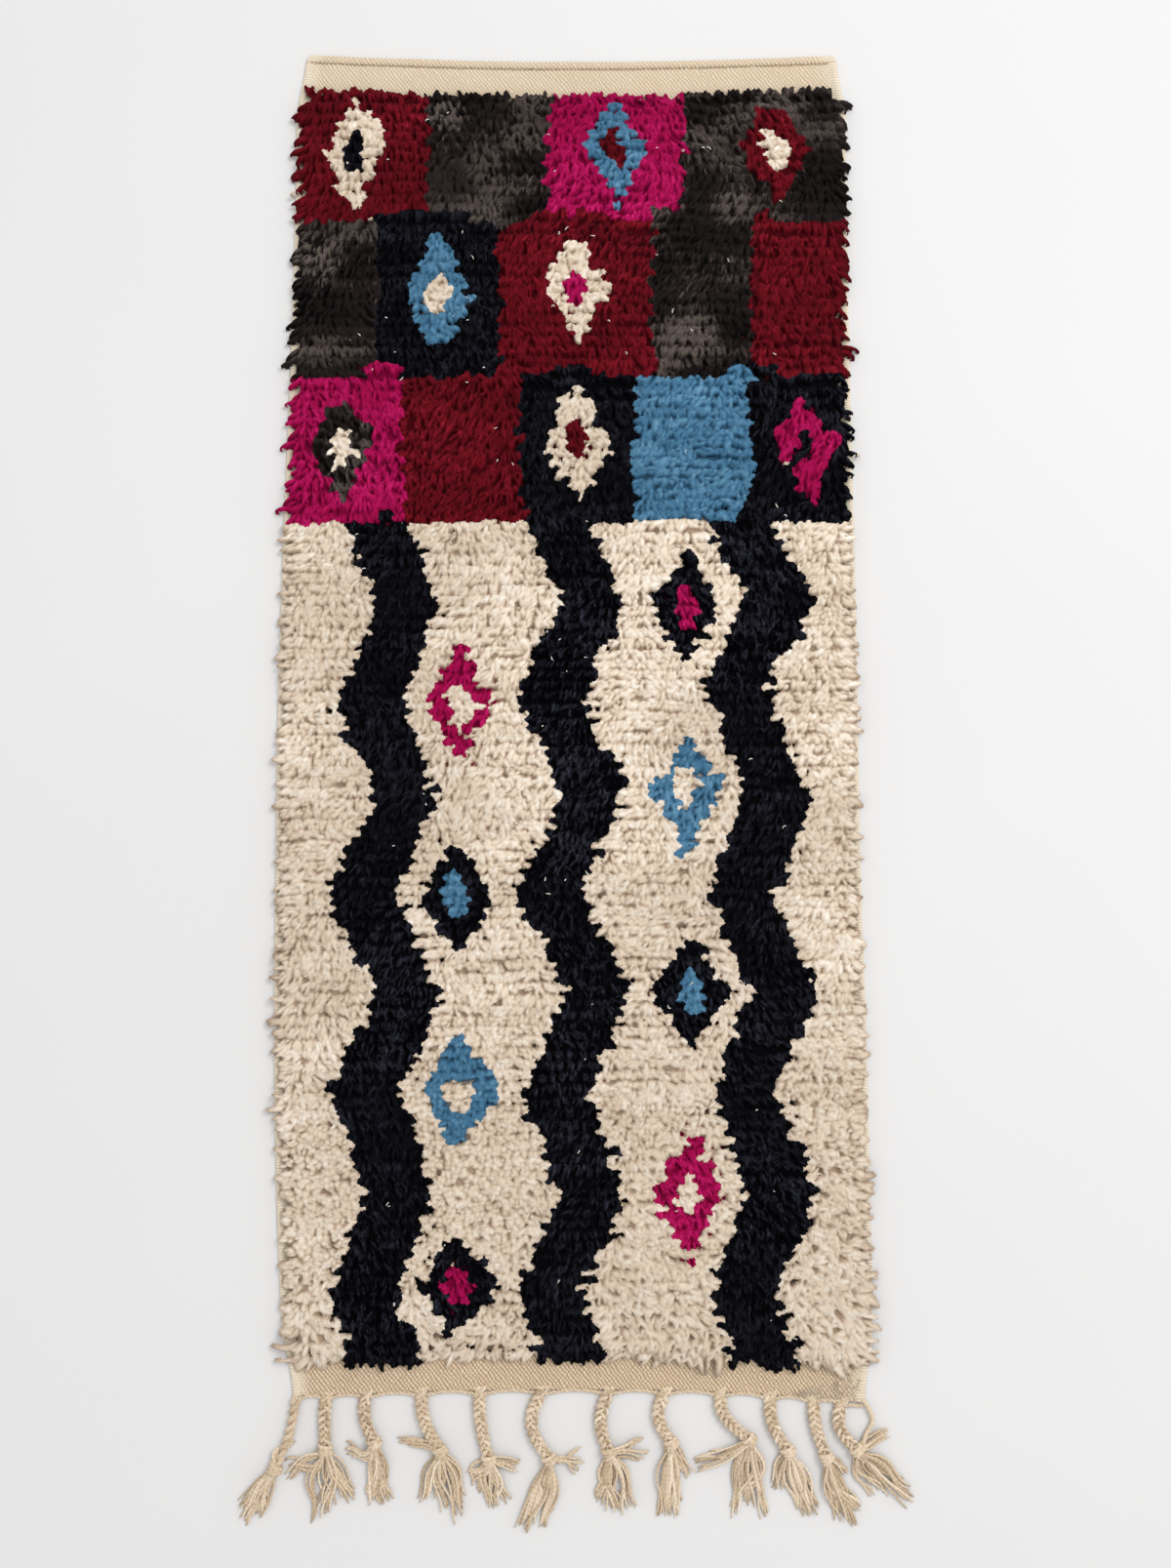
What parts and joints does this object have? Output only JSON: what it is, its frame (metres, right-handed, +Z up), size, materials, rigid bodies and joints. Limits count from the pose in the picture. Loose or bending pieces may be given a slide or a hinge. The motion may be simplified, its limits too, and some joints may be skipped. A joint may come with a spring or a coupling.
{
  "type": "berber runner rug",
  "caption": "Long flat rug of knotted wool pile on a woven ground, hemmed at one end, with plaited warp ends and tassels at the other.",
  "frame": {"origin": "middle of the bounding box, on the floor", "axes": "+Z up off the floor, +Y along the rug from the plaited end to the hemmed end, +X to the right seen from above"},
  "size_m": [0.8542, 1.9238, 0.0209],
  "materials": {
    "ivory_wool": "soft undyed wool pile, matt",
    "black_wool": "soft black wool pile, matt",
    "charcoal_wool": "soft dark brown-grey wool pile, matt",
    "burgundy_wool": "soft dark red wool pile, matt",
    "magenta_wool": "soft deep pink-red wool pile, matt",
    "blue_wool": "soft grey-blue wool pile, matt",
    "ground_weave": "flat-woven undyed wool and cotton, matt",
    "warp_cotton": "plaited undyed warp yarn, matt"
  },
  "bodies": {
    "root": {"rug": "ivory_wool", "plait_01": "warp_cotton", "plait_02": "warp_cotton", "plait_03": "warp_cotton", "plait_04": "warp_cotton", "plait_05": "warp_cotton", "plait_06": "warp_cotton", "plait_07": "warp_cotton", "plait_08": "warp_cotton", "plait_09": "warp_cotton", "plait_10": "warp_cotton", "plait_11": "warp_cotton", "plait_12": "warp_cotton"}
  },
  "joints": []
}
